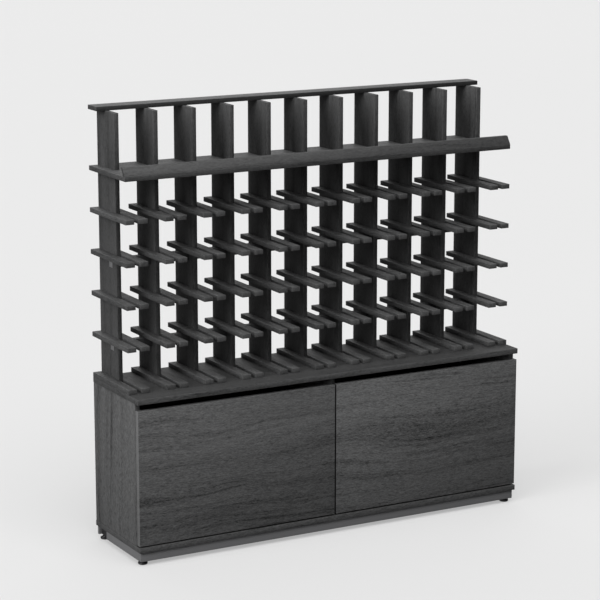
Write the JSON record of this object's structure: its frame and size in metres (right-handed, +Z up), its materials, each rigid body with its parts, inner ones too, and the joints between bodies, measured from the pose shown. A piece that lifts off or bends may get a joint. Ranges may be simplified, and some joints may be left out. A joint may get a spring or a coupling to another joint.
{
  "type": "wine rack",
  "caption": "Free-standing black-stained wood wine rack: lattice of planks and sticks for lying bottles and a lipped display shelf, on a low cabinet with handleless drawers.",
  "frame": {"origin": "on the floor under the middle of the rack's footprint", "axes": "+X to the viewer's right as one stands before the rack, +Y to the wall behind it, +Z up"},
  "size_m": [1.2, 0.288, 1.2069],
  "materials": {
    "stained_wood": "matt black stain over open-pored ash or oak",
    "plinth_paint": "matt dark grey paint",
    "black_plastic": "matt",
    "satin_steel": "satin",
    "zinc_steel": "zinc plated",
    "birch_ply": "clear lacquer",
    "dark_board": "matt dark laminate"
  },
  "bodies": {
    "frame": {"cabinet_bottom": "stained_wood", "cabinet_top": "stained_wood", "cabinet_side_left": "stained_wood", "cabinet_side_right": "stained_wood", "cabinet_divider": "stained_wood", "cabinet_back": "dark_board", "plinth_front": "plinth_paint", "plinth_left": "plinth_paint", "plinth_right": "plinth_paint", "plinth_back": "plinth_paint", "foot_block_front_left": "black_plastic", "foot_block_front_right": "black_plastic", "foot_block_back_left": "black_plastic", "foot_block_back_right": "black_plastic", "drawer_left_runner_left_cabinet_member": "zinc_steel", "drawer_left_runner_right_cabinet_member": "zinc_steel", "drawer_right_runner_left_cabinet_member": "zinc_steel", "drawer_right_runner_right_cabinet_member": "zinc_steel", "rack_ladder_01": "stained_wood", "rack_ladder_02": "stained_wood", "rack_ladder_03": "stained_wood", "rack_ladder_04": "stained_wood", "rack_ladder_05": "stained_wood", "rack_ladder_06": "stained_wood", "rack_ladder_07": "stained_wood", "rack_ladder_08": "stained_wood", "rack_ladder_09": "stained_wood", "rack_ladder_10": "stained_wood", "rack_ladder_11": "stained_wood", "tie_bar_lower": "satin_steel", "tie_bar_upper": "satin_steel", "display_shelf": "stained_wood", "shelf_lip": "stained_wood", "top_rail": "stained_wood"},
    "foot_front_left": {"foot_front_left": "black_plastic"},
    "foot_front_right": {"foot_front_right": "black_plastic"},
    "foot_back_left": {"foot_back_left": "black_plastic"},
    "foot_back_right": {"foot_back_right": "black_plastic"},
    "drawer_left": {"drawer_left_front": "stained_wood", "drawer_left_side_left": "birch_ply", "drawer_left_side_right": "birch_ply", "drawer_left_back": "birch_ply", "drawer_left_bottom": "birch_ply", "drawer_left_runner_left_drawer_member": "zinc_steel", "drawer_left_runner_right_drawer_member": "zinc_steel"},
    "drawer_left_middle_runners": {"drawer_left_runner_left_middle_member": "zinc_steel", "drawer_left_runner_right_middle_member": "zinc_steel"},
    "drawer_right": {"drawer_right_front": "stained_wood", "drawer_right_side_left": "birch_ply", "drawer_right_side_right": "birch_ply", "drawer_right_back": "birch_ply", "drawer_right_bottom": "birch_ply", "drawer_right_runner_left_drawer_member": "zinc_steel", "drawer_right_runner_right_drawer_member": "zinc_steel"},
    "drawer_right_middle_runners": {"drawer_right_runner_left_middle_member": "zinc_steel", "drawer_right_runner_right_middle_member": "zinc_steel"}
  },
  "joints": [
    {"name": "drawer_left_slide", "type": "slide", "parent": "frame", "child": "drawer_left", "axis": [0, -1, 0], "range_m": [0, 0.215]},
    {"name": "drawer_left_runners_slide", "type": "slide", "parent": "frame", "child": "drawer_left_middle_runners", "axis": [0, -1, 0], "range_m": [0, 0.1075]},
    {"name": "drawer_right_slide", "type": "slide", "parent": "frame", "child": "drawer_right", "axis": [0, -1, 0], "range_m": [0, 0.215]},
    {"name": "drawer_right_runners_slide", "type": "slide", "parent": "frame", "child": "drawer_right_middle_runners", "axis": [0, -1, 0], "range_m": [0, 0.1075]},
    {"name": "foot_front_left_turn", "type": "hinge", "parent": "frame", "child": "foot_front_left", "pos_m": [-0.58, -0.117, 0], "axis": [0, 0, 1], "range_deg": [-360, 360]},
    {"name": "foot_front_right_turn", "type": "hinge", "parent": "frame", "child": "foot_front_right", "pos_m": [0.58, -0.117, 0], "axis": [0, 0, 1], "range_deg": [-360, 360]},
    {"name": "foot_back_left_turn", "type": "hinge", "parent": "frame", "child": "foot_back_left", "pos_m": [-0.58, 0.128, 0], "axis": [0, 0, 1], "range_deg": [-360, 360]},
    {"name": "foot_back_right_turn", "type": "hinge", "parent": "frame", "child": "foot_back_right", "pos_m": [0.58, 0.128, 0], "axis": [0, 0, 1], "range_deg": [-360, 360]}
  ],
  "couplings": [
    {"joint": "drawer_left_runners_slide", "follows": "drawer_left_slide", "ratio": 0.5},
    {"joint": "drawer_right_runners_slide", "follows": "drawer_right_slide", "ratio": 0.5}
  ]
}
